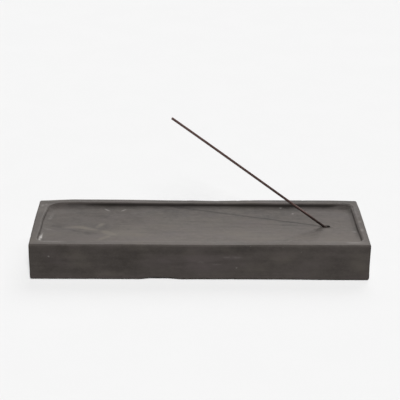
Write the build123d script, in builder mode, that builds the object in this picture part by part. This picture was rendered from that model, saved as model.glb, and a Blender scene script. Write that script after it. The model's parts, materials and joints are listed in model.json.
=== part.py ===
from build123d import *
from math import acos, atan2, cos, degrees, hypot, radians, sin
import os

# An incense stick holder: a heavy stone tray with a shallow recess that catches the ash,
# a slanting bore near its right end, and a loose stick that leans out of the bore over the recess.
# Lengths are in millimetres, angles in degrees. +X runs along the tray, +Y to its back, +Z up.
# The origin is on the table, under the middle of the tray.

# Stone tray
tray_length = 220.0
tray_depth = 82.5
tray_height = 24.0
tray_corner_radius = 1.5
top_edge_radius = 1.2
base_edge_radius = 0.5

# Ash recess in the top of the tray
end_rim_width = 4.8
side_rim_width = 7.2
recess_depth = 2.3
recess_corner_radius = 5.0
recess_wide_corner_radius = 9.0
recess_bend_inset = 2.6
recess_bend_length = 31.0
recess_bend_radius = 60.0
recess_wall_lean = 12.0
rim_inner_radius = 1.6
recess_foot_radius = 0.6

# Bore for the stick, drilled from the recess floor down towards the right end
bore_diameter = 3.8
bore_angle = 44.1
bore_lip_radius = 0.4
bore_from_end = 25.8
bore_from_centreline = -2.7

# Incense stick
stick_diameter = 1.65
stick_length = 140.0
stick_insertion = 14.8
stick_end_radius = 0.15
stick_clearance = 0.1

# Cork feet under the corners of the tray
foot_diameter = 14.0
foot_thickness = 1.0
foot_margin = 9.0
foot_edge_bevel = 0.25

# Heights over the table
base_height = foot_thickness
rim_height = base_height + tray_height
floor_height = rim_height - recess_depth

# Half the size of the recess at the rim
recess_reach = tray_length / 2 - end_rim_width
recess_half_depth = tray_depth / 2 - side_rim_width

# The bore's axis meets the recess floor at the mouth and leaves it along bore_out
bore_radius = bore_diameter / 2
stick_radius = stick_diameter / 2
bore_slope = radians(bore_angle)
bore_out = Vector(-cos(bore_slope), 0, sin(bore_slope))
mouth = Vector(tray_length / 2 - bore_from_end, bore_from_centreline, floor_height)

# The stick is thinner than its bore, so it tips over until its underside lies on the rounded lip
# and its foot stops against the bore's upper wall. The lip is an arc about lip_centre, which is
# lip_along from the mouth, measured along the bore.
lip_reach = bore_radius + bore_lip_radius
lip_along = (lip_reach * cos(bore_slope) - bore_lip_radius) / sin(bore_slope)
lip_centre = mouth + bore_out * lip_along - Vector(sin(bore_slope), 0, cos(bore_slope)) * lip_reach
lip_to_axis = bore_lip_radius + stick_clearance + stick_radius
foot_corner_rise = lip_to_axis + stick_radius
bore_room = bore_radius + lip_reach - stick_clearance
stick_tilt = atan2(stick_insertion, foot_corner_rise)
stick_tilt -= acos(bore_room / hypot(foot_corner_rise, stick_insertion))
stick_slope = bore_slope - stick_tilt
stick_out = Vector(-cos(stick_slope), 0, sin(stick_slope))
stick_up = Vector(sin(stick_slope), 0, cos(stick_slope))
stick_foot = lip_centre + stick_up * lip_to_axis - stick_out * stick_insertion

# The bore ends just below the stick's foot, so that the stick stands on its end
foot_fall = stick_insertion * cos(stick_tilt) - (lip_to_axis - stick_radius) * sin(stick_tilt)
bore_depth = foot_fall - lip_along + stick_clearance

os.makedirs("parts", exist_ok=True)

# Tray: a block with soft edges, its recess, and then the bore through the recess floor
with BuildPart() as tray:
    with BuildSketch(Plane.XY.offset(base_height)):
        RectangleRounded(tray_length, tray_depth, tray_corner_radius)
    extrude(amount=tray_height)
    outer_edges = tray.edges().filter_by(Plane.XY).group_by(Axis.Z)
    fillet(outer_edges[0], radius=base_edge_radius)
    top_edges = tray.edges().filter_by(Plane.XY).group_by(Axis.Z)[-1]
    fillet(top_edges, radius=top_edge_radius)

    with BuildSketch(Plane.XY.offset(rim_height)):
        # The left wall bends inwards on its way to the back, where the corner is the widest of the four
        with BuildLine():
            Polyline(
                (-recess_reach, -recess_half_depth),
                (recess_reach, -recess_half_depth),
                (recess_reach, recess_half_depth),
                (recess_bend_inset - recess_reach, recess_half_depth),
                (-recess_reach, recess_half_depth - recess_bend_length),
                close=True,
            )
        make_face()
        fillet(vertices().group_by(Axis.Y)[-1].sort_by(Axis.X)[0], radius=recess_wide_corner_radius)
        fillet(vertices().group_by(Axis.X)[0].sort_by(Axis.Y)[-1], radius=recess_bend_radius)
        fillet(vertices().group_by(Axis.X)[0].sort_by(Axis.Y)[0], radius=recess_corner_radius)
        fillet(vertices().group_by(Axis.X)[-1], radius=recess_corner_radius)
    extrude(amount=-recess_depth, taper=recess_wall_lean, mode=Mode.SUBTRACT)
    recess_edges = tray.edges(Select.LAST).filter_by(Plane.XY).group_by(Axis.Z)
    fillet(recess_edges[0], radius=recess_foot_radius)
    rim_face = tray.faces().filter_by(Plane.XY).sort_by(Axis.Z)[-1]
    fillet(rim_face.inner_wires()[0].edges(), radius=rim_inner_radius)

    # The drill starts clear of the floor, on the far side of the slanting mouth
    drill_start = lip_along + bore_diameter
    with Locations(Plane(mouth + bore_out * drill_start, x_dir=(0, 1, 0), z_dir=bore_out)):
        Hole(radius=bore_radius, depth=drill_start + bore_depth)
    mouth_edge = tray.edges(Select.LAST).sort_by(Axis.Z)[-1]
    fillet(mouth_edge, radius=bore_lip_radius)
tray.part.label = "tray"
export_step(tray.part, "parts/tray.step")

# Incense stick: one pressed rod with slightly rounded ends
with BuildPart() as incense_stick:
    with BuildSketch(Plane(stick_foot, x_dir=(0, 1, 0), z_dir=stick_out)):
        Circle(stick_radius)
    extrude(amount=stick_length)
    fillet(incense_stick.edges().filter_by(GeomType.CIRCLE), radius=stick_end_radius)
incense_stick.part.label = "incense_stick"
export_step(incense_stick.part, "parts/incense_stick.step")

# Cork feet: one disc under each corner, with its lower edge rubbed to a small bevel
foot_x = tray_length / 2 - foot_margin - foot_diameter / 2
foot_y = tray_depth / 2 - foot_margin - foot_diameter / 2
foot_places = {
    "cork_foot_front_left": (-foot_x, -foot_y),
    "cork_foot_front_right": (foot_x, -foot_y),
    "cork_foot_back_left": (-foot_x, foot_y),
    "cork_foot_back_right": (foot_x, foot_y),
}
for foot_name, (place_x, place_y) in foot_places.items():
    with BuildPart() as cork_foot:
        with BuildSketch(Plane((place_x, place_y, 0))):
            Circle(foot_diameter / 2)
        extrude(amount=foot_thickness)
        chamfer(cork_foot.edges().group_by(Axis.Z)[0], length=foot_edge_bevel)
    cork_foot.part.label = foot_name
    export_step(cork_foot.part, f"parts/{foot_name}.step")

print("stick leans at", round(degrees(stick_slope), 2), "degrees, bore depth", round(bore_depth, 2))
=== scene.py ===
import json
import math
from collections import namedtuple

import bmesh
import bpy
from mathutils import Matrix, Vector, noise


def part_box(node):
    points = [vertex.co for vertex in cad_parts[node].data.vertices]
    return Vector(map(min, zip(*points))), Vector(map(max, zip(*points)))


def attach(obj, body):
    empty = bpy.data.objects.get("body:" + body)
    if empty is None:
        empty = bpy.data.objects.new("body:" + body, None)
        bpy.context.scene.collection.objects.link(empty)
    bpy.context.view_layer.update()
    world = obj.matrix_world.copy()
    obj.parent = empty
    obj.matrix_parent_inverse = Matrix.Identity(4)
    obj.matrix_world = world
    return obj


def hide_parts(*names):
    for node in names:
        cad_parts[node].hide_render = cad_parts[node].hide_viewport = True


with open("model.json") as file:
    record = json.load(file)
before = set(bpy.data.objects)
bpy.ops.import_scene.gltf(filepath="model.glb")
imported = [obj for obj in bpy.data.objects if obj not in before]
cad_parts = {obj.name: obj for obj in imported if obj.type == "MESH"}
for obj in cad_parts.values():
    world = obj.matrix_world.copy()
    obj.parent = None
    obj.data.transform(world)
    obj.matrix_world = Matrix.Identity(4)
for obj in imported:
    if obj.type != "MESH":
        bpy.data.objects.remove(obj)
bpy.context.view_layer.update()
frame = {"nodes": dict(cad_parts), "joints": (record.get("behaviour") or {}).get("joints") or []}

scene = bpy.context.scene
mm = 0.001
print("frame loaded:", len(frame["nodes"]), "nodes")


# One output socket of a material: sums on it add Math nodes, node() adds any other
class Wire:
    def __init__(self, tree, socket=None):
        self.tree = tree
        self.socket = socket

    def node(self, kind, settings=None, sockets=None, out=0):
        made = self.tree.nodes.new(kind)
        for name, value in (settings or {}).items():
            if name == "stops":
                fillRamp(made.color_ramp, value)
            else:
                setattr(made, name, value)
        for name, value in (sockets or {}).items():
            if isinstance(value, Wire):
                self.tree.links.new(value.socket, made.inputs[name])
            else:
                made.inputs[name].default_value = value
        return Wire(self.tree, made.outputs[out])

    def maths(self, operation, first, second, clamp=False):
        settings = {"operation": operation, "use_clamp": clamp}
        return self.node("ShaderNodeMath", settings, {0: first, 1: second})

    def __add__(self, other):
        return self.maths("ADD", self, other)

    def __radd__(self, other):
        return self.maths("ADD", other, self)

    def __sub__(self, other):
        return self.maths("SUBTRACT", self, other)

    def __rsub__(self, other):
        return self.maths("SUBTRACT", other, self)

    def __mul__(self, other):
        return self.maths("MULTIPLY", self, other)

    def __rmul__(self, other):
        return self.maths("MULTIPLY", other, self)

    def held(self):  # kept between 0 and 1
        return self.maths("ADD", self, 0.0, clamp=True)

    def step(self, low, high):  # a smooth rise from 0 at low to 1 at high
        limits = {"Value": self, "From Min": low, "From Max": high}
        return self.node("ShaderNodeMapRange", {"interpolation_type": "SMOOTHSTEP"}, limits)

    def blend(self, first, second):  # this mask takes colour first to colour second
        return self.node("ShaderNodeMix", {"data_type": "RGBA"}, {0: self, 6: first, 7: second}, out=2)


def fillRamp(ramp, stops):
    while len(ramp.elements) < len(stops):
        ramp.elements.new(1.0)
    for element, (place, colour) in zip(ramp.elements, stops):
        element.position = place
        element.color = colour


def startMaterial(name):
    material = bpy.data.materials.new(name)
    material.use_nodes = True
    place = Wire(material.node_tree).node("ShaderNodeTexCoord", out=3)  # object coordinates, in metres
    return material, place


def dress(material, linked, plain):
    shader = material.node_tree.nodes["Principled BSDF"]
    for name, wire in linked.items():
        material.node_tree.links.new(wire.socket, shader.inputs[name])
    for name, value in plain.items():
        shader.inputs[name].default_value = value
    return material


def scaled(place, size, stretch, seed):
    settings = {
        0: place,
        "Location": (seed, seed, seed),
        "Scale": [1 / (size * mm * share) for share in stretch],
    }
    return place.node("ShaderNodeMapping", {}, settings)


def grain(place, size, stretch, detail, rough, seed):
    # clouds about size millimetres across, drawn out by stretch, centred on 0
    settings = {0: scaled(place, size, stretch, seed), "Scale": 1.0, "Detail": detail, "Roughness": rough}
    return place.node("ShaderNodeTexNoise", {}, settings) - 0.5


def cells(place, size, seed, out=0):
    settings = {0: scaled(place, size, (1, 1, 1), seed), "Scale": 1.0}
    return place.node("ShaderNodeTexVoronoi", {}, settings, out=out)


def dots(place, size, seed, edge, draw):
    # a soft dot in a few of the cells: draw picks which of them carry one
    return (1 - cells(place, size, seed).step(*edge)) * cells(place, size, seed, out=1).step(*draw)


def patch(place, centre, reach, turn=0.0):
    # 1 at the centre of a soft oval, 0 at its edge, sizes in millimetres
    settings = {
        0: place,
        "Location": [c * mm for c in centre],
        "Rotation": (0, 0, math.radians(turn)),
        "Scale": [r * mm for r in reach],
    }
    mapped = place.node("ShaderNodeMapping", {"vector_type": "TEXTURE"}, settings)
    far = place.node("ShaderNodeVectorMath", {"operation": "LENGTH"}, {0: mapped}, out=1)
    return (1 - far).held()


def gather(place, marks, full=0.85):
    # each mark has its full strength once a patch has risen to this share
    total = 0
    for centre, reach, turn, strength in marks:
        total = patch(place, centre, reach, turn).step(0.0, full) * strength + total
    return total


def mixed(patterns, even, shares):
    # an even value with a share of each named pattern on it
    total = even
    for name, share in shares.items():
        total = patterns[name] * share + total
    return total


def toned(tone, look):
    stops = [(0.0, look["dark"]), (look["middleAt"], look["middle"]), (1.0, look["light"])]
    return tone.node("ShaderNodeValToRGB", {"stops": stops}, {0: tone.held()})


def bumped(height, look):
    strength, depth = look["bump"]
    return height.node("ShaderNodeBump", {}, {"Strength": strength, "Distance": depth * mm, "Height": height})


# grains: size in millimetres, stretch, detail, roughness, seed
# dots: size of the cells, seed, edge of a dot, which of the cells carry one
# mixes: an even value, then the share of each pattern
# marks: centre, reach and turn in millimetres and degrees, then strength
stoneLook = {
    "dark": (0.0245, 0.0212, 0.0190, 1),
    "middle": (0.0708, 0.0620, 0.0564, 1),
    "light": (0.1090, 0.0956, 0.0868, 1),
    "middleAt": 0.5,
    # painted shade: the dark colour at the foot of the recess walls, and how fully its mask lays it on
    "dust": (0.0180, 0.0158, 0.0142, 1),
    "dustCover": 0.85,
    # pale marks, and painted highlights along the front rim
    "chalk": (0.55, 0.53, 0.51, 1),
    "earth": (0.112, 0.099, 0.084, 1),
    "clay": (0.092, 0.078, 0.076, 1),
    "grains": {
        "cloud": (30, (2.2, 1, 1), 4, 0.55, 14.6),
        "mottle": (9, (1.7, 1, 1), 5, 0.6, 8.7),
        "streak": (2.8, (14, 1.2, 1), 3, 0.5, 1.9),
        "blotch": (2.0, (1.8, 1.5, 1), 3, 0.6, 31.7),
        "fine": (0.6, (1.4, 1, 1), 2, 0.6, 5.3),
        "warmth": (16, (1.5, 1, 1), 3, 0.5, 12.9),
        "tint": (12, (1.8, 1, 1), 3, 0.55, 21.3),
    },
    "dots": {
        "speck": (4.1, 2.0, (0.04, 0.12), (0.90, 0.96)),
        "pit": (2.3, 6.0, (0.05, 0.15), (0.60, 0.66)),
    },
    "tone": (0.5, {
        "cloud": 0.45,
        "mottle": 0.50,
        "streak": 0.26,
        "fine": 0.30,
        "blotch": 0.32,
        "edgeWear": 0.05,
        "pit": -0.22,
    }),
    # painted light: the recess, and less its walls and rim, lighter towards the front and darker towards the
    # back, with mottle and blotch of its own
    "recessTone": (0.10, {"mottle": 0.50, "blotch": 0.28, "depth": -0.31 / (34 * mm)}),
    # how each finish is broken up in its marks, and how it lies thinly everywhere
    "earthBreak": (0.80, {"mottle": 2.5, "streak": 2.0}),
    "earthHaze": (0.0, {"warmth": 1.2}),
    "clayBreak": (0.70, {"mottle": 2.0, "streak": 2.0}),
    "clayHaze": (0.0, {"tint": 2.0}),
    "chalkBreak": (0.75, {"fine": 3.0, "streak": 2.0, "mottle": 2.0}),
    "chalkHaze": (0.0, {"speck": 0.12}),
    "roughness": (0.82, {"mottle": 0.25, "fine": 0.20, "edgeWear": -0.10, "chalk": 0.15}),
    "height": (0.0, {"mottle": 0.30, "streak": 0.12, "fine": 0.50, "pit": -0.90}),
    "bump": (0.35, 0.12),  # strength, and depth in millimetres
    "plain": {"IOR": 1.48, "Specular IOR Level": 0.06},
    "chalkMarks": [
        ((-62.4, 25.6, 22.9), (4.4, 1.0, 3), -48, 0.20),
        ((-51.2, 25.3, 22.9), (3.8, 1.0, 3), 45, 0.18),
        ((56.2, 30.3, 22.9), (1.3, 1.5, 3), 0, 0.30),
        ((63.7, 20.0, 22.9), (1.1, 1.3, 3), 0, 0.30),
        # a bright pale patch up the left wall near the front
        ((-103.5, -27.2, 23.1), (1.4, 11.0, 3), -2, 0.75),
        ((-102.9, -22.0, 22.9), (1.0, 7.0, 2), -4, 0.35),
        ((-106.8, 30.0, 25.0), (1.8, 4.0, 3), 0, 0.12),
        ((-104.4, 32.5, 25.0), (1.6, 3.0, 3), 0, 0.08),
        ((107.6, 28.0, 25.0), (1.4, 3.0, 3), 0, 0.06),
        ((107.4, 11.0, 25.0), (1.4, 3.0, 3), 0, 0.07),
        ((107.3, 0.4, 25.0), (1.6, 3.0, 3), 0, 0.08),
        ((102.2, -11.7, 22.9), (1.8, 4.0, 3), 10, 0.10),
        ((-99.0, -31.5, 23.6), (9.0, 2.5, 3), 0, 0.09),
        ((-99.6, 12.5, 22.9), (1.9, 8.0, 3), -8, 0.10),
        ((-100.0, -9.5, 22.9), (6.0, 2.0, 3), -25, 0.07),
        ((107.0, -14.1, 25.0), (1.6, 3.8, 3), 0, 0.15),
        # painted highlight: two pale strips along the front rim's inner edge
        ((100.0, -36.5, 25.0), (9.0, 1.7, 3), 0, 0.13),
        ((-95.0, -36.2, 24.9), (13.0, 2.0, 3), -3, 0.11),
        ((-97.1, -41.1, 16.7), (1.0, 2.0, 0.9), 0, 0.20),
        ((23.6, -41.1, 9.1), (0.9, 2.0, 0.9), 0, 0.20),
        ((16.8, -41.1, 16.4), (4.0, 2.0, 0.9), 0, 0.05),
        ((24.0, -41.1, 16.4), (4.5, 2.0, 1.0), 0, 0.05),
        ((10.5, -41.1, 11.6), (4.5, 2.0, 1.0), 0, 0.04),
        ((0.3, -41.1, 13.0), (3.0, 2.0, 1.2), 0, 0.05),
    ],
    "earthMarks": [
        ((-83.0, -6.0, 22.9), (8.0, 3.0, 4), 0, 1.2),
        ((-74.5, -7.5, 22.9), (11.0, 3.4, 4), -22, 1.5),
        ((-66.0, -2.5, 22.9), (6.5, 2.8, 4), 65, 1.3),
        ((-59.5, -16.0, 22.9), (9.0, 3.6, 4), -38, 1.5),
        ((-62.0, -24.2, 22.9), (8.0, 2.4, 4), 46, 2.2),
        ((-45.0, -14.0, 22.9), (20.0, 14.0, 6), 0, 0.45),
        ((-20.0, 2.0, 22.9), (30.0, 20.0, 6), 8, 0.25),
        ((40.0, -20.0, 22.9), (48.0, 12.0, 6), -4, 0.30),
        ((-80.0, -41.1, 17.0), (12.0, 4.0, 5), 0, 0.22),
        ((-74.0, -41.1, 11.0), (16.0, 4.0, 4), 0, 0.25),
        ((-56.0, -41.1, 5.0), (14.0, 4.0, 2.5), 0, 0.35),
        ((53.0, -41.1, 16.7), (16.0, 4.0, 6), 0, 0.35),
        ((36.0, -41.1, 9.0), (16.0, 4.0, 6), 0, 0.20),
        ((58.5, -41.1, 5.5), (5.0, 4.0, 3), 0, 0.30),
        ((103.0, -41.1, 13.0), (9.0, 4.0, 10), 0, 0.35),
    ],
    "clayMarks": [
        ((3.0, -41.1, 12.5), (40.0, 4.0, 11), 0, 0.75),
        ((20.5, -41.1, 16.7), (9.0, 4.0, 2.5), 0, 0.45),
        ((-84.0, -28.0, 22.9), (26.0, 8.0, 4), 0, 0.25),
        ((86.0, 22.0, 22.9), (20.0, 16.0, 4), 0, 0.25),
    ],
    "darkMarks": [  # a mark below 0 is a lighter one
        # painted shadow of the stick beside the bore's mouth
        ((79.6, -8.2, 22.9), (5.0, 5.5, 3), 0, 0.12),
        # painted shade in the right end of the bore's mouth
        ((86.2, -0.3, 22.7), (2.0, 1.7, 2), 0, 0.35),
        # painted shade in the back left corner of the recess
        ((-100.0, 35.0, 24.5), (7.0, 3.5, 3), 0, 0.24),
        ((-93.5, -2.0, 22.9), (7.0, 8.0, 4), 0, 0.14),
        ((-82.0, -11.8, 22.9), (7.5, 3.0, 3), -20, 0.20),
        ((-71.0, -16.8, 22.9), (11.0, 4.2, 3), -18, 0.26),
        ((-64.0, 12.0, 22.9), (12.0, 4.0, 3), -7, 0.14),
        ((-49.6, 4.1, 22.9), (4.0, 3.0, 3), 0, 0.10),
        ((94.0, 2.0, 22.9), (20.0, 28.0, 4), 0, -0.12),
        ((-44.0, -41.1, 12.0), (30.0, 4.0, 12), 0, 0.06),
        ((-88.0, -41.1, 14.0), (32.0, 4.0, 16), 0, 0.07),
        ((-9.0, -41.1, 11.0), (18.0, 4.0, 10), 0, 0.06),
        ((0.0, -41.1, 21.5), (160.0, 4.0, 5), 0, 0.05),
        ((90.0, -41.1, 14.0), (16.0, 4.0, 10), 0, 0.04),
        # painted light: the front face lighter along its foot, where light from the floor falls
        ((0.0, -41.1, 4.0), (115.0, 4.0, 5), 0, -0.06),
    ],
}


def makeStone():
    material, place = startMaterial("darkStone")
    look = stoneLook
    patterns = {name: grain(place, *setup) for name, setup in look["grains"].items()}
    for name, setup in look["dots"].items():
        patterns[name] = dots(place, *setup)
    for name in ("edgeWear", "hollow", "basin"):
        patterns[name] = place.node("ShaderNodeAttribute", {"attribute_name": name}, out=2)
    patterns["depth"] = place.node("ShaderNodeSeparateXYZ", {}, {0: place}, out=1)

    # lays a finish's marks over the colour; the pale ones include painted highlights
    def rubbed(colour, finish):
        marks = gather(place, look[finish + "Marks"]) * mixed(patterns, *look[finish + "Break"]).held()
        patterns[finish] = (marks + mixed(patterns, *look[finish + "Haze"]).held()).held()
        return patterns[finish].blend(colour, look[finish])

    # painted light: the recess is lighter towards the front and darker towards the back
    tone = mixed(patterns, *look["tone"]) + patterns["basin"] * mixed(patterns, *look["recessTone"])
    # then the dark marks, among them painted shade, a painted shadow and painted light
    colour = toned(tone - gather(place, look["darkMarks"]), look)
    colour = rubbed(rubbed(colour, "earth"), "clay")
    # painted shade in the foot of the walls and on the floor before them
    colour = (patterns["hollow"] * look["dustCover"]).held().blend(colour, look["dust"])
    colour = rubbed(colour, "chalk")
    linked = {
        "Base Color": colour,
        "Roughness": mixed(patterns, *look["roughness"]).held(),
        "Normal": bumped(mixed(patterns, *look["height"]), look),
    }
    return dress(material, linked, look["plain"])


incenseLook = {
    "dark": (0.015, 0.008, 0.006, 1),
    "middle": (0.086, 0.048, 0.042, 1),
    "light": (0.128, 0.082, 0.073, 1),
    "middleAt": 0.5,
    "grains": {
        "drag": (0.28, (9, 1, 1), 3, 0.55, 4.2),
        "powder": (0.16, (1.4, 1, 1), 2, 0.6, 7.7),
        "band": (9, (1, 1, 1), 2, 0.5, 2.3),
    },
    "fleck": (0.7, 3.0),  # size and seed
    "fleckEdge": (0.10, 0.24),
    "tone": (0.46, {"drag": 0.80, "powder": 0.70, "band": 0.35, "fleck": 0.30}),
    # painted highlight, a paler stretch along the stick's upper side: how far up the stick, its reach, the
    # share where it is whole, how pale
    "rubbed": (34.0, (12.0, 2.0, 0.75), 0.7, 1.2),
    "climb": (61.0, 84.0, 0.5),  # painted light: paler upwards and darker low down: even at this height, over how many millimetres, how much
    "shade": (30.0, 42.0, 0.14),  # darker close to the tray: full below, none above, how much
    "roughness": (0.78, {"powder": 0.30}),
    "height": (0.0, {"drag": 0.60, "powder": 0.80}),
    "bump": (0.5, 0.06),
    "plain": {"Specular IOR Level": 0.3},
}


def makeIncense():
    material, place = startMaterial("pressedIncense")
    look = incenseLook
    line = stickLine()
    out = line.out
    lean = -math.atan2(out.z, -out.x)
    # the pattern is turned so that its X runs along the stick
    turned = place.node("ShaderNodeMapping", {}, {0: place, "Rotation": (0, lean, 0)})
    patterns = {name: grain(turned, *setup) for name, setup in look["grains"].items()}
    patterns["fleck"] = 1 - cells(turned, *look["fleck"]).step(*look["fleckEdge"])
    rise = place.node("ShaderNodeSeparateXYZ", {}, {0: place}, out=2)
    along, reach, whole, pale = look["rubbed"]
    # the painted highlight lies along the stick's upper side
    onTop = line.foot + out * along * mm + Vector((out.z, 0, -out.x)) * line.radius
    rubbed = patch(turned, Matrix.Rotation(lean, 3, "Y") @ onTop / mm, reach).step(0.0, whole)
    middle, run, climb = look["climb"]
    dark, clear, shade = look["shade"]
    tone = mixed(patterns, *look["tone"]) + rubbed * pale
    # painted light, paler upwards, and painted shade close to the tray
    tone = tone + (rise - middle * mm) * (climb / (run * mm))
    tone = tone - (1 - rise.step(dark * mm, clear * mm)) * shade
    linked = {
        "Base Color": toned(tone, look),
        "Roughness": mixed(patterns, *look["roughness"]).held(),
        "Normal": bumped(mixed(patterns, *look["height"]), look),
    }
    return dress(material, linked, look["plain"])


corkLook = {
    "dark": (0.10, 0.055, 0.028, 1),
    "middle": (0.36, 0.22, 0.115, 1),
    "light": (0.58, 0.40, 0.23, 1),
    "middleAt": 0.45,
    "crumb": (0.9, 1.0),  # size and seed
    "seamEdge": (0.25, 0.62),
    "grains": {
        "fine": (0.25, (1, 1, 1), 3, 0.6, 6.1),
        "bark": (1.6, (1, 1, 1), 2, 0.5, 9.4),
    },
    "barkBreak": (-0.9, {"bark": 6.0}),
    "tone": (0.2, {"crumb": 0.62, "seam": -0.30, "bark": -0.35, "fine": 0.40}),
    "roughness": (0.86, {"fine": 0.20}),
    "height": (0.0, {"fine": 0.50, "seam": -0.50}),
    "bump": (0.6, 0.12),
    "plain": {"Specular IOR Level": 0.25},
}


def makeCork():
    material, place = startMaterial("groundCork")
    look = corkLook
    patterns = {name: grain(place, *setup) for name, setup in look["grains"].items()}
    patterns["crumb"] = cells(place, *look["crumb"], out=1)
    patterns["seam"] = cells(place, *look["crumb"]).step(*look["seamEdge"])
    patterns["bark"] = mixed(patterns, *look["barkBreak"]).held()
    linked = {
        "Base Color": toned(mixed(patterns, *look["tone"]), look),
        "Roughness": mixed(patterns, *look["roughness"]).held(),
        "Normal": bumped(mixed(patterns, *look["height"]), look),
    }
    return dress(material, linked, look["plain"])


def addPiece(name, bm, material, body, node):
    for face in bm.faces:
        face.smooth = True
    mesh = bpy.data.meshes.new(name)
    bm.to_mesh(mesh)
    bm.free()
    mesh.materials.append(material)
    piece = bpy.data.objects.new(name, mesh)
    scene.collection.objects.link(piece)
    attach(piece, body)
    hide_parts(node)
    print(name, "made with", len(mesh.polygons), "faces")
    return piece


def wave(spot, size, seed):
    return noise.noise(spot / (size * mm) + Vector((seed, seed * 1.7, seed * 0.3)))


def wander(spot, sizes, seeds):
    # between 0 and 1: wide waves with small ones on them
    wide, small = (wave(spot, size, seed) for size, seed in zip(sizes, seeds))
    return 0.5 + 0.5 * (0.7 * wide + 0.3 * small)


def ease(value, low, high):
    share = min(max((value - low) / (high - low), 0.0), 1.0)
    return share * share * (3 - 2 * share)


def extrudeRing(bm, edges):
    made = bmesh.ops.extrude_edge_only(bm, edges=edges)["geom"]
    verts = {item for item in made if isinstance(item, bmesh.types.BMVert)}
    ring = [item for item in made if isinstance(item, bmesh.types.BMEdge) and set(item.verts) <= verts]
    return list(verts), ring


Cove = namedtuple("Cove", "x y reach slope rise edge dust dustWidth")

# sizes in millimetres, angles in degrees; the outer size and the height come from the CAD node
trayShape = {
    "cornerRadius": 1.5,
    "topEdge": 1.2,
    "baseEdge": 0.5,
    "endRim": 4.8,
    "sideRim": 7.2,
    "recessDepth": 2.3,
    "recessCorner": 5.0,
    "wideCorner": 9.0,  # the back left one
    "bendInset": 2.6,  # the left wall bends inwards towards the back
    "bendLength": 31.0,
    "wallLean": 12.0,
    "rimEdge": 1.6,
    "recessFoot": 0.6,
    "hold": 0.3,  # a ring this far from each rounding keeps the flats flat
    "gridStep": 1.1,
    "baseStep": 4.0,
    "wallStep": 1.5,
    "steps": {"corner": 14, "arc": 6, "rim": 5, "bore": 6},
    "bore": {
        "diameter": 3.8,
        "angle": 44.1,
        "depth": 12.9,
        "lip": 0.4,
        "fromEnd": 25.8,
        "fromMiddle": -2.7,
        "clearing": (5.2, 3.8),  # half size of the floor patch that is opened for the mouth
        "trueTo": 20.0,  # nothing below the floor is worked this near the mouth
        "calm": (5, 16),  # the floor is worked from the first distance on, freely from the second
    },
    # how rubbed each edge is, and how much of the recess's painted light and tone its walls and rim take
    "wear": {"innerEdge": 0.8, "rim": 0.3, "topEdge": 1.0, "baseEdge": 0.6},
    "rimTone": 0.5,
    "toneFade": (-90, -15, 0.4),  # less of that painted light and tone at the left: between which x, and how much is left
    "handWork": {
        "skin": 3.0,  # an outer wall's wandering dies away this far in
        "wallWander": 0.12,
        "wallWaves": (75, 17),
        "rimWander": 0.10,
        "rimWaves": (60, 12),
        "recessWander": 0.30,
        "recessWaves": 30,
        "recessFade": (0.5, 3),
        # how deep, how wide, the share of x that counts, seed
        "floorWaves": [(0.10, 15, 0.45, 71), (0.04, 3.2, 0.06, 83)],
        "floorDish": 0.40,
        "mouthDish": (0.10, 3.4, 9),  # how deep, whole up to, and gone from
        "nick": (0.9, 6.0, 0.40),  # how deep, how wide, how few
        "seeds": {"wall": (11, 23), "recess": (41, 46), "rim": (57, 61), "nick": 97},
        # radius of the rim's inner edge on each side
        "rimEdges": {"left": 0.8, "right": 2.2, "front": 1.6, "back": 1.4},
        "rimBlend": 2.0,
        # walls that run out softly: x, y, how far along the wall, width of the slope along x and y,
        # rise, radius of the rim's edge, then how thick the painted shade lies (below 0: taken away) and how
        # wide
        "coves": [
            Cove(-96, 34, 27, (4, 8), 1.2, 2.4, 0.72, 8),
            Cove(-103, 31, 15, (5, 6), 2.1, 3.0, -0.6, 4),
            Cove(90, 35, 45, (3, 3.5), 0.75, 2.0, -0.6, 4),
            Cove(105, 34, 17, (4, 6), 2.0, 2.6, -0.8, 4),
            Cove(-104, -6, 62, (5, 0.5), 0.9, 0.8, 0.0, 4),
            Cove(104, 4, 42, (4, 0.5), 0.4, 2.2, 0.5, 4),
        ],
        "coveCurve": 1.4,
        "coveCore": 0.3,  # the share of its reach over which a cove is whole
        "backCove": (8, 0.28),  # a slope along the whole back wall: its width and its rise
        # where a wall of the recess stands further in: axis, side, place along the wall, how far, how deep
        "wallInsets": [(0, -1, 3, 34, 0.60), (0, 1, 7, 32, 0.45), (1, 1, 84, 46, 0.80)],
        # a wall's shift is whole this near the outer wall, and gone this far from it along x and y
        "insetFade": (8, (60, 34)),
        "insetRim": (0.5, 4),  # the same across the rim
        # where a wall is trimmed: axis, x, y, z, how far, how deep
        "wallTrims": [
            (0, -110, 41, 20, 45, 0.46),
            (0, -110, -41, 4, 15, 0.34),
            (0, 110, 41, 25, 20, 0.40),
            (0, 110, -41, 9, 18, 0.34),
        ],
        # where the rim sags: x, y, how far along x and y, how deep
        "rimDips": [
            (-112, 42, 28, 30, 1.0),
            (-12, 42, 46, 30, 0.42),
            (10, 42, 34, 30, 0.60),
            (4, -42, 60, 30, 0.30),
            (-88, -42, 40, 20, 0.16),
            (112, 42, 22, 30, 0.30),
        ],
        # where the lower front edge is rubbed away: x, how far, how high
        "baseDents": [(-26, 14, 1.15), (-75, 70, 0.36), (30, 62, 0.42)],
        "dentSize": (12, 4),  # how far back and how far up a dent reaches
        "dentCore": 0.35,
        # painted shade at the foot of the recess walls and on the floor before them
        "dust": {
            "thick": 0.50,
            "width": (2, 9.5),  # whole up to, and gone from
            "core": 0.35,
            "backFrom": 30,  # a cove past this y belongs to the back wall
            "softRise": (0.75, 0.88),  # coves that rise less still hold painted shade on the wall, higher ones little
            "softLoss": 0.7,
            "thin": (30, 70, 1.5, 3.0),  # thinner up the wall to the right: between which x, and the powers
            "ends": 0.25,  # what is left on walls that don't face the front
        },
    },
}
traySteps = trayShape["steps"]
boreShape = trayShape["bore"]
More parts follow.
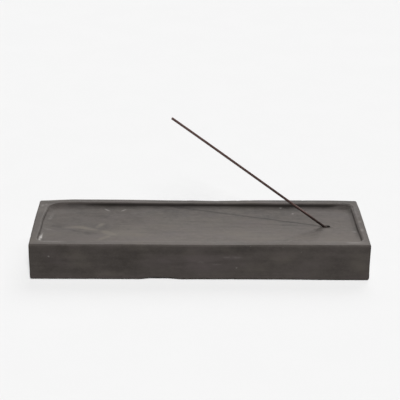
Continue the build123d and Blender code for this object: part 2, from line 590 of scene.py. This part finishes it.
handWork = trayShape["handWork"]


class Ring:
    def __init__(self, insets, height, small, wide, wear=0.0, hollow=0.0, basin=0.0):
        self.insets = insets
        self.height = height
        self.small = small
        self.wide = wide
        self.wear = wear
        self.hollow = hollow
        self.basin = basin

    def corner(self, spot):
        return self.wide if spot.x < 0 < spot.y else self.small


def trayProfile(low, high):
    # rings from the recess floor up its wall, over the rim and down to the base
    s = {name: value * mm for name, value in trayShape.items() if isinstance(value, float)}
    steps = traySteps["arc"]
    wear = trayShape["wear"]
    rimTone = trayShape["rimTone"]
    lean = math.radians(trayShape["wallLean"])
    sweep = math.pi / 2 - lean
    floor = high.z - s["recessDepth"]
    rings = []

    def inner(out, height, worn, hollow):
        insets = (s["endRim"] - out, s["sideRim"] - out)
        small, wide = s["recessCorner"] + out, s["wideCorner"] + out
        rings.append(Ring(insets, height, small, wide, worn, hollow, rimTone))

    def outer(inset, height, worn):
        corner = s["cornerRadius"] - inset
        rings.append(Ring((inset, inset), height, corner, corner, worn))

    footOut = -s["recessDepth"] * math.tan(lean) - s["recessFoot"] * math.tan(sweep / 2)
    # the painted shade mask is whole at the wall's foot and fades out over the rim's rounded edge
    for step in range(steps + 1):
        turn = sweep * step / steps
        out = footOut + s["recessFoot"] * math.sin(turn)
        inner(out, floor + s["recessFoot"] * (1 - math.cos(turn)), 0.0, 1.0)
    rimOut = s["rimEdge"] * math.tan(sweep / 2)
    for step in range(steps, -1, -1):
        share = step / steps
        turn = sweep * share
        out = rimOut - s["rimEdge"] * math.sin(turn)
        inner(out, high.z - s["rimEdge"] * (1 - math.cos(turn)), wear["innerEdge"] * (1 - share), share)
    # the rim's top turns from the recess outline to the sharper outer outline
    start, end = rings[-1], s["topEdge"] + s["hold"]
    sharp = s["cornerRadius"] - s["topEdge"]
    for step in range(1, traySteps["rim"] + 1):
        share = step / traySteps["rim"]
        insets = [inset + (end - inset) * share for inset in start.insets]
        small, wide = (corner + (sharp - corner) * share for corner in (start.small, start.wide))
        rings.append(Ring(insets, high.z, small, wide, wear["rim"], 0.0, rimTone))
    for step in range(steps + 1):
        turn = math.pi / 2 * step / steps
        worn = wear["topEdge"] * (1 - abs(1 - 2 * step / steps) / 2)
        outer(s["topEdge"] * (1 - math.sin(turn)), high.z - s["topEdge"] * (1 - math.cos(turn)), worn)
    top, bottom = high.z - s["topEdge"] - s["hold"], low.z + s["baseEdge"] + s["hold"]
    count = round((top - bottom) / s["wallStep"])
    for step in range(count + 1):
        outer(0.0, top + (bottom - top) * step / count, 0.0)
    for step in range(steps + 1):
        turn = math.pi / 2 * step / steps
        height = low.z + s["baseEdge"] * (1 - math.sin(turn))
        outer(s["baseEdge"] * (1 - math.cos(turn)), height, wear["baseEdge"])
    return rings


def moveToRing(vert, half, old, new):
    # a corner vertex keeps its heading, a side vertex keeps its share of the side
    spot = vert.co.copy()
    before = [half[axis] - old.insets[axis] - old.corner(spot) for axis in (0, 1)]
    after = [half[axis] - new.insets[axis] - new.corner(spot) for axis in (0, 1)]
    past = [abs(spot[axis]) > before[axis] + 1e-7 for axis in (0, 1)]
    for axis in (0, 1):
        side = math.copysign(1, spot[axis])
        if all(past):
            grown = (abs(spot[axis]) - before[axis]) * new.corner(spot) / old.corner(spot)
            vert.co[axis] = side * (after[axis] + grown)
        elif past[axis]:
            vert.co[axis] = side * (half[axis] - new.insets[axis])
        else:
            vert.co[axis] = spot[axis] * after[axis] / before[axis]
    vert.co.z = new.height


def cutGrid(bm, face, step, half):
    geom = [face] + list(face.edges) + list(face.verts)
    for axis in (0, 1):
        count = int(half[axis] / step)
        normal = Vector((1 - axis, axis, 0))
        for index in range(-count, count + 1):
            spot = Vector((0, 0, face.calc_center_median().z)) + normal * (index + 0.5) * step
            cut = bmesh.ops.bisect_plane(bm, geom=geom, dist=1e-6, plane_co=spot, plane_no=normal)
            geom = cut["geom"]


def boreMouth(high):
    x = high.x - boreShape["fromEnd"] * mm
    z = high.z - trayShape["recessDepth"] * mm
    return Vector((x, boreShape["fromMiddle"] * mm, z))


def openBore(bm, mouth):
    # a patch of the floor is opened, joined to an oval, and drawn down along the bore
    reach = [size * mm for size in boreShape["clearing"]]
    level = 0.1 * mm
    gone = []
    for face in bm.faces:
        away = face.calc_center_median() - mouth
        if abs(away.x) < reach[0] and abs(away.y) < reach[1] and abs(away.z) < level:
            gone.append(face)
    bmesh.ops.delete(bm, geom=gone, context="FACES")
    hole = [edge for edge in bm.edges if edge.is_boundary]
    oval = bmesh.ops.create_circle(bm, segments=len(hole), radius=1.0)["verts"]
    ring = list({edge for vert in oval for edge in vert.link_edges})
    radius, lip = boreShape["diameter"] / 2 * mm, boreShape["lip"] * mm
    slope = math.radians(boreShape["angle"])
    long = radius / math.sin(slope)
    verts = oval
    now = Matrix.Identity(4)
    steps = traySteps["arc"]
    for step in range(steps + 1):
        turn = math.pi / 2 * step / steps
        grow, drop = lip * (1 - math.sin(turn)), lip * (1 - math.cos(turn))
        middle = mouth + Vector((drop / math.tan(slope), 0, -drop))
        target = Matrix.Translation(middle) @ Matrix.Diagonal((long + grow, radius + grow, 1, 1))
        bmesh.ops.transform(bm, matrix=target @ now.inverted(), verts=verts)
        if step == 0:
            bmesh.ops.bridge_loops(bm, edges=hole + ring)
        now = target
        verts, ring = extrudeRing(bm, ring)
    down = Vector((math.cos(slope), 0, -math.sin(slope)))
    deep = boreShape["depth"] * mm + radius
    for step in range(traySteps["bore"]):
        if step > 0:
            verts, ring = extrudeRing(bm, ring)
        bmesh.ops.translate(bm, vec=down * deep / traySteps["bore"], verts=verts)
    # the blind end is square to the bore
    end = mouth + down * deep
    for vert in verts:
        vert.co -= down * (vert.co - end).dot(down)
    bmesh.ops.edgeloop_fill(bm, edges=ring)


def fromOutline(spot, half):
    # the way inwards, and how far past the recess's outline; on the rim that is positive
    corner = trayShape["wideCorner" if spot.x < 0 < spot.y else "recessCorner"] * mm
    rims = [trayShape[name] * mm for name in ("endRim", "sideRim")]
    past = Vector([abs(spot[axis]) - (half[axis] - rims[axis] - corner) for axis in (0, 1)])
    if min(past) > 0:
        out = past.length - corner
    else:
        out = max(past) - corner
        past = Vector((1, 0)) if past.x > past.y else Vector((0, 1))
    way = past.normalized()
    return Vector((-math.copysign(way.x, spot.x), -math.copysign(way.y, spot.y), 0)), out


def bentWall(spot, half, out):
    s = {name: trayShape[name] * mm for name in ("sideRim", "bendInset", "bendLength")}
    back = half.y - s["sideRim"]
    share = min(max((spot.y - back) / s["bendLength"] + 1, 0.0), 1.0)
    move = Vector((s["bendInset"] * share if spot.x < 0 else 0.0, 0, 0))
    for axis, side, place, reach, inset in handWork["wallInsets"]:
        if side * spot[axis] > 0:
            away = abs(spot[1 - axis] / mm - place)
            move[axis] -= side * inset * mm * (1 - ease(away, 0.5 * reach, reach))
    # the shift dies away towards the middle of the floor and across the rim
    whole, ends = handWork["insetFade"]
    for axis, end in enumerate(ends):
        move[axis] *= 1 - ease(half[axis] - abs(spot[axis]), whole * mm, end * mm)
    whole, end = handWork["insetRim"]
    return move * (1 - ease(out, whole * mm, end * mm))


def edgeReach(radius, drop):
    # how far inwards the rim's edge lies at this drop when it is rounded to this radius
    lean = math.radians(trayShape["wallLean"])
    sweep = math.pi / 2 - lean
    if drop > radius * (1 - math.cos(sweep)):
        return drop * math.tan(lean)
    across = math.sqrt(max(0.0, radius * radius - (radius - drop) ** 2))
    return across - radius * math.tan(sweep / 2)


def coveShare(spot, cove):
    away = math.hypot(spot.x / mm - cove.x, spot.y / mm - cove.y)
    return 1 - ease(away, handWork["coveCore"] * cove.reach, cove.reach)


def coveRise(spot, way, out):
    width, lift = (size * mm for size in handWork["backCove"])
    deep = max(0.0, -out)
    rise = lift * max(0.0, -way.y) * max(0.0, 1 - deep / width) ** 2
    for cove in handWork["coves"]:
        width = (way.x ** 2 * cove.slope[0] + way.y ** 2 * cove.slope[1]) * mm
        run = max(0.0, 1 - deep / width)
        rise = max(rise, cove.rise * mm * run ** handWork["coveCurve"] * coveShare(spot, cove))
    return rise


def fullerRim(spot, half, way, out):
    # the rim's inner edge is crisp at the left and pillowy at the right
    sides = handWork["rimEdges"]
    alongX = sides["right" if spot.x > 0 else "left"]
    alongY = sides["back" if spot.y > 0 else "front"]
    wanted = way.x ** 2 * alongX + way.y ** 2 * alongY
    for cove in handWork["coves"]:
        wanted += (cove.edge - wanted) * coveShare(spot, cove)
    built = trayShape["rimEdge"] * mm
    drop = max(0.0, half.z - spot.z)
    move = edgeReach(wanted * mm, drop) - edgeReach(built, drop)
    start = -edgeReach(built, 0.0)
    return way * move * (1 - ease(out, start, start + handWork["rimBlend"] * mm))


def sagAt(spot):
    sag = 0.0
    for x, y, alongX, alongY, depth in handWork["rimDips"]:
        away = math.hypot((spot.x / mm - x) / alongX, (spot.y / mm - y) / alongY)
        sag = max(sag, depth * mm * (1 - ease(away, 0.0, 1.0)))
    return sag


def trimAt(spot, axis):
    trim = 0.0
    for across, x, y, z, reach, depth in handWork["wallTrims"]:
        away = (spot / mm - Vector((x, y, z))).length
        trim += depth * mm * (1 - ease(away, 0.0, reach)) * (across == axis)
    return trim


def wanderIn(spot, half):
    # the outer walls wander inwards, and are trimmed near the corners
    move = Vector((0, 0, 0))
    wide, small = handWork["seeds"]["wall"]
    for axis in (0, 1):
        side = math.copysign(1, spot[axis])
        onWall = ease(abs(spot[axis]), half[axis] - handWork["skin"] * mm, half[axis])
        share = wander(spot, handWork["wallWaves"], (wide + axis + side, small + side))
        move[axis] = -side * onWall * (handWork["wallWander"] * mm * share + trimAt(spot, axis))
    return move


def recessWander(spot, out):
    whole, end = handWork["recessFade"]
    x, y = (wave(spot, handWork["recessWaves"], seed) for seed in handWork["seeds"]["recess"])
    sideways = Vector((x, y, 0))
    return sideways * handWork["recessWander"] * mm * (1 - ease(out, whole * mm, end * mm))


def floorWork(spot, half, near, calm):
    # waves and wiping strokes, a dish at the bore's mouth and a long one over the whole floor
    height = 0.0
    for deep, wide, share, seed in handWork["floorWaves"]:
        drawn = Vector((spot.x * share, spot.y, 0))
        height += calm * deep * mm * wave(drawn, wide, seed)
    deep, whole, end = handWork["mouthDish"]
    height -= deep * mm * (1 - ease(near, whole * mm, end * mm))
    return height + handWork["floorDish"] * mm * (spot.y / half.y) ** 2


def paintedShadeAt(spot, way, out, built, onFloor):
    # painted shade along the back wall and the floor before it, less at the ends and where the wall runs out
    # softly
    dust = handWork["dust"]
    facing = max(0.0, -way.y)
    whole, end = dust["width"]
    laid = dust["thick"] * facing * (1 - ease(-out, whole * mm, end * mm))
    soft = 0.0
    for cove in handWork["coves"]:
        share = coveShare(spot, cove)
        soft = max(soft, share * ease(cove.rise, *dust["softRise"]))
        faces = facing if cove.y > dust["backFrom"] else max(0.0, -way.x * math.copysign(1, cove.x))
        width = cove.dustWidth * mm
        coveShade = share * faces * cove.dust * (1 - ease(-out, dust["core"] * width, width))
        laid = max(laid, coveShade) * (1 + min(0.0, cove.dust) * share)
    left, right, power, thinPower = dust["thin"]
    power += (thinPower - power) * ease(spot.x, left * mm, right * mm)
    onWall = built ** power * (dust["ends"] + (1 - dust["ends"]) * facing ** 3)
    return max(onWall * (1 - dust["softLoss"] * soft), laid * onFloor)


def rubBase(spot, low, half):
    back, up = (size * mm for size in handWork["dentSize"])
    front = ease(-spot.y, half.y - back, half.y - mm) * (1 - ease(spot.z, low.z, low.z + up))
    lift = 0.0
    for x, reach, height in handWork["baseDents"]:
        lift += height * mm * (1 - ease(abs(spot.x / mm - x), handWork["dentCore"] * reach, reach))
    return front * lift


def workByHand(bm, low, high, mouth, wearLayer, shadeMaskLayer):
    # the block was shaped by hand: faces wander inwards, the recess wanders sideways
    floor = high.z - trayShape["recessDepth"] * mm
    recessFrom, wallFrom = floor - 0.1 * mm, floor + 0.3 * mm
    boreFrom, boreTo = low.z + 3 * mm, floor - 0.01 * mm
    rimReach = 4 * mm  # the recess's shape is felt this far over the rim
    calmFrom, calmTo = (size * mm for size in boreShape["calm"])
    nickDepth, nickSize, nickFrom = handWork["nick"]
    seeds = handWork["seeds"]
    for vert in bm.verts:
        spot = vert.co.copy()
        near = (spot.xy - mouth.xy).length
        if near < boreShape["trueTo"] * mm and boreFrom < spot.z < boreTo:
            continue  # the bore stays true
        calm = ease(near, calmFrom, calmTo)
        onTop = ease(spot.z, wallFrom, high.z - 0.2 * mm)
        onFloor = 1 - ease(spot.z, floor + 0.1 * mm, floor + 1.2 * mm)
        way, out = fromOutline(spot, high)
        if spot.z > recessFrom and out < rimReach:
            if spot.z > wallFrom:
                vert.co += fullerRim(spot, high, way, out)
            vert.co += bentWall(spot, high, out) * calm
            vert.co += recessWander(spot, out) * calm
            if out < 0:
                vert.co.z += onFloor * floorWork(spot, high, near, calm)
                vert.co.z += coveRise(spot, way, out) * (high.z - spot.z) / (high.z - floor)
            # painted shade at the foot of the walls and on the floor before them
            vert[shadeMaskLayer] = paintedShadeAt(spot, way, out, vert[shadeMaskLayer], onFloor)
        vert.co += wanderIn(spot, high)
        dip = handWork["rimWander"] * mm * wander(spot, handWork["rimWaves"], seeds["rim"])
        vert.co.z += rubBase(spot, low, high) - onTop * (sagAt(spot) + dip)
        nick = max(0.0, wave(spot, nickSize, seeds["nick"]) - nickFrom) * vert[wearLayer]
        vert.co -= vert.normal * nick * nickDepth * mm


def buildTray(material):
    low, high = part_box("tray")
    rings = trayProfile(low, high)
    mouth = boreMouth(high)
    gridStep = trayShape["gridStep"] * mm
    bm = bmesh.new()
    wearLayer = bm.verts.layers.float.new("edgeWear")
    shadeMaskLayer = bm.verts.layers.float.new("hollow")
    basinLayer = bm.verts.layers.float.new("basin")
    # the recess floor starts as a disc, pulled apart into a rounded oblong and cut into a grid
    steps = traySteps["corner"]
    disc = bmesh.ops.create_circle(bm, cap_ends=True, segments=4 * steps, radius=1.0)["verts"]
    bmesh.ops.rotate(bm, verts=disc, matrix=Matrix.Rotation(math.pi / 4 / steps, 3, "Z"))
    first = rings[0]
    for vert in disc:
        corner = first.corner(vert.co)
        for axis in (0, 1):
            straight = high[axis] - first.insets[axis] - corner
            vert.co[axis] = math.copysign(straight, vert.co[axis]) + vert.co[axis] * corner
        vert.co.z = first.height
    cutGrid(bm, bm.faces[:][0], gridStep, high)
    bmesh.ops.remove_doubles(bm, verts=bm.verts, dist=0.2 * gridStep)
    for vert in bm.verts:
        vert[basinLayer] = 1.0
    ring = [edge for edge in bm.edges if edge.is_boundary]
    for vert in {vert for edge in ring for vert in edge.verts}:
        vert[shadeMaskLayer] = first.hollow
    for old, new in zip(rings, rings[1:]):
        verts, ring = extrudeRing(bm, ring)
        for vert in verts:
            moveToRing(vert, high, old, new)
            vert[wearLayer], vert[shadeMaskLayer], vert[basinLayer] = new.wear, new.hollow, new.basin
    left, right, least = trayShape["toneFade"]
    for vert in bm.verts:
        vert[basinLayer] *= least + (1 - least) * ease(vert.co.x / mm, left, right)
    base = bmesh.ops.edgeloop_fill(bm, edges=ring)["faces"][0]
    cutGrid(bm, base, trayShape["baseStep"] * mm, high)
    openBore(bm, mouth)
    bmesh.ops.recalc_face_normals(bm, faces=bm.faces)
    bm.normal_update()
    workByHand(bm, low, high, mouth, wearLayer, shadeMaskLayer)
    return addPiece("stoneTray", bm, material, "tray", "tray")


stickShape = {
    "sides": 18,
    "stride": 1.2,  # millimetres between rings
    "uneven": 0.03,  # share of the radius that comes and goes
    "skin": [(0.3, 2.4, 5), (0.2, 0.8, 9)],  # waves of that: share, size, seed
    "bow": 0.3,
    "endRound": 0.15,
}
StickLine = namedtuple("StickLine", "foot out length radius")


def stickLine():
    low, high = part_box("incense_stick")
    out = Vector(frame["joints"][0]["axis"]).normalized()
    radius = (high.y - low.y) / 2
    middle = (low.y + high.y) / 2
    foot = Vector((high.x - radius * out.z, middle, low.z - radius * out.x))
    tip = Vector((low.x + radius * out.z, middle, high.z + radius * out.x))
    return StickLine(foot, out, (tip - foot).length, radius)


def buildStick(material):
    foot, out, length, radius = stickLine()
    endRound = stickShape["endRound"] * mm
    count = round(length / (stickShape["stride"] * mm))
    stations = [0.0, endRound * 0.3, endRound]
    stations += [length * index / count for index in range(1, count)]
    stations += [length - endRound, length - endRound * 0.3, length]
    bm = bmesh.new()
    # drawn up along Z ring by ring, then laid along the bore
    bmesh.ops.create_circle(bm, cap_ends=True, segments=stickShape["sides"], radius=radius)
    ring = list(bm.edges)
    for before, after in zip(stations, stations[1:]):
        verts, ring = extrudeRing(bm, ring)
        bmesh.ops.translate(bm, vec=(0, 0, after - before), verts=verts)
    bmesh.ops.edgeloop_fill(bm, edges=ring)
    for vert in bm.verts:
        along = vert.co.z
        share = along / length
        end = min(max(1 - min(along, length - along) / endRound, 0.0), 1.0)
        rounded = 1 - (1 - math.sqrt(1 - end * end)) * endRound / radius
        uneven = 0.5 + sum(part * wave(vert.co, size, seed) for part, size, seed in stickShape["skin"])
        vert.co.xy *= rounded * (1 - stickShape["uneven"] * uneven)
        vert.co.y += stickShape["bow"] * mm * (share ** 2 - share ** 4) * 2
    turn = out.to_track_quat("Z", "Y").to_matrix().to_4x4()
    bmesh.ops.transform(bm, matrix=Matrix.Translation(foot) @ turn, verts=bm.verts)
    bmesh.ops.recalc_face_normals(bm, faces=bm.faces)
    return addPiece("incenseStick", bm, material, "stick", "incense_stick")


footShape = {
    "sides": 72,
    "rings": (0.35, 0.9, 1.3, 1.5),  # widths from the edge inwards; they give the face its pores
    "bevel": 0.25,
    "ragged": (0.12, 1.1, 900),  # depth, size, seed
    "pore": (0.07, 1.5, 31),
}


def buildFoot(node, material, seed):
    low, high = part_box(node)
    centre = (low + high) / 2
    radius = (high.x - low.x) / 2
    level = 0.1 * mm
    bm = bmesh.new()
    bmesh.ops.create_circle(bm, cap_ends=True, segments=footShape["sides"], radius=radius)
    face = bm.faces[:][0]
    for width in footShape["rings"]:
        bmesh.ops.inset_region(bm, faces=[face], thickness=width * mm, use_even_offset=True)
    top = bmesh.ops.extrude_face_region(bm, geom=bm.faces[:])["geom"]
    lifted = [item for item in top if isinstance(item, bmesh.types.BMVert)]
    bmesh.ops.translate(bm, vec=(0, 0, high.z - low.z), verts=lifted)
    lowRim = {vert for vert in bm.verts if vert.co.xy.length > radius * 0.99 and vert.co.z < level}
    rimEdges = [edge for edge in bm.edges if set(edge.verts) <= lowRim]
    width = footShape["bevel"] * mm
    bmesh.ops.bevel(bm, geom=rimEdges, offset=width, affect="EDGES", segments=3, profile=0.5, material=-1)
    bmesh.ops.recalc_face_normals(bm, faces=bm.faces)
    raggedDepth, raggedSize, raggedSeed = footShape["ragged"]
    poreDepth, poreSize, poreSeed = footShape["pore"]
    for vert in bm.verts:
        edge = ease(vert.co.xy.length, radius * 0.85, radius)
        spot = vert.co + Vector((seed, 0, 0))
        rub = 0.5 + 0.5 * wave(spot, raggedSize, seed * raggedSeed)
        vert.co.xy -= vert.co.xy.normalized() * raggedDepth * mm * edge * rub
        if vert.co.z < level:
            vert.co.z += poreDepth * mm * max(0.0, wave(spot, poreSize, poreSeed))
    bmesh.ops.translate(bm, vec=(centre.x, centre.y, low.z), verts=bm.verts)
    name = "corkFoot" + "".join(word.title() for word in node.split("_")[2:])
    return addPiece(name, bm, material, "tray", node)


tray = buildTray(makeStone())
stick = buildStick(makeIncense())
cork = makeCork()
feetNodes = sorted(node for node in frame["nodes"] if node.startswith("cork_foot"))
feet = [buildFoot(node, cork, 0.1 + 0.1 * index) for index, node in enumerate(feetNodes)]
print("pieces dressed:", 2 + len(feet))

stageLook = {
    "floorSize": 24.0,
    "floorColour": (0.80, 0.80, 0.80, 1),
    "floorGrain": (40, (1, 1, 1), 2, 0.5, 1.0),
    "floorMottle": 0.02,
    "floorPlain": {"Roughness": 0.9, "Specular IOR Level": 0.0},
    "worldLight": 0.03,
}


def makeFloor():
    bm = bmesh.new()
    bmesh.ops.create_grid(bm, x_segments=8, y_segments=8, size=stageLook["floorSize"] / 2)
    mesh = bpy.data.meshes.new("paleFloor")
    bm.to_mesh(mesh)
    bm.free()
    material, place = startMaterial("paleFloorPaper")
    mottle = stageLook["floorMottle"]
    tint = grain(place, *stageLook["floorGrain"]) * mottle + (1 - mottle / 2)
    colour = tint.blend((0, 0, 0, 1), stageLook["floorColour"])
    mesh.materials.append(dress(material, {"Base Color": colour}, stageLook["floorPlain"]))
    floor = bpy.data.objects.new("paleFloor", mesh)
    scene.collection.objects.link(floor)
    return floor


# places in metres, only for the direction; spread in degrees; each lamp lights the floor or the object
lamps = {
    "floorFront": {"lights": "floor", "place": (0.02, -1.0, 0.75), "spread": 16, "power": 5.35},
    "floorBack": {"lights": "floor", "place": (0.3, 1.0, 0.95), "spread": 40, "power": 0.55},
    "lowBack": {"lights": "object", "place": (0.1, 1.0, 0.44), "spread": 31, "power": 4.2},
    "highKey": {"lights": "object", "place": (0.0, -0.47, 1.0), "spread": 2, "power": 2.3},
    "topKey": {"lights": "object", "place": (0.0, -0.12, 1.0), "spread": 3, "power": 0.7},
}


def addLamp(name, setup, receivers):
    lamp = bpy.data.lights.new(name, "SUN")
    lamp.energy = setup["power"]
    lamp.angle = math.radians(setup["spread"])
    holder = bpy.data.objects.new(name, lamp)
    scene.collection.objects.link(holder)
    holder.location = setup["place"]
    holder.rotation_euler = (-holder.location).to_track_quat("-Z", "Y").to_euler()
    group = bpy.data.collections.new(name + "Receivers")
    for piece in receivers[setup["lights"]]:
        group.objects.link(piece)
    holder.light_linking.receiver_collection = group


floor = makeFloor()
receivers = {"floor": [floor], "object": [tray, stick] + feet}
for name, setup in lamps.items():
    addLamp(name, setup, receivers)
world = bpy.data.worlds.new("studio")
world.use_nodes = True
background = world.node_tree.nodes["Background"]
background.inputs["Color"].default_value = (1, 1, 1, 1)
background.inputs["Strength"].default_value = stageLook["worldLight"]
scene.world = world
scene.view_settings.view_transform = "Standard"
print("studio lit by", len(lamps), "lamps")

# the photographed view: the lens looks down on the tray from the front
view = {
    "place": (-15.68, -910.0, 385.45),  # millimetres
    "tilt": 69.224,
    "swing": -1.007,
    "roll": 0.61,
    "lens": 132.27,
    "sensor": 36.0,
    "farEnd": 60.0,  # metres
}


def addCamera():
    lens = bpy.data.cameras.new("photoView")
    lens.lens, lens.sensor_width = view["lens"], view["sensor"]
    lens.clip_end = view["farEnd"]
    camera = bpy.data.objects.new("photoView", lens)
    scene.collection.objects.link(camera)
    angles = [math.radians(view[name]) for name in ("swing", "tilt", "roll")]
    turned = [Matrix.Rotation(angle, 3, axis) for angle, axis in zip(angles, "ZXZ")]
    camera.rotation_euler = (turned[0] @ turned[1] @ turned[2]).to_euler()
    camera.location = Vector(view["place"]) * mm
    scene.camera = camera


addCamera()
print("camera set")
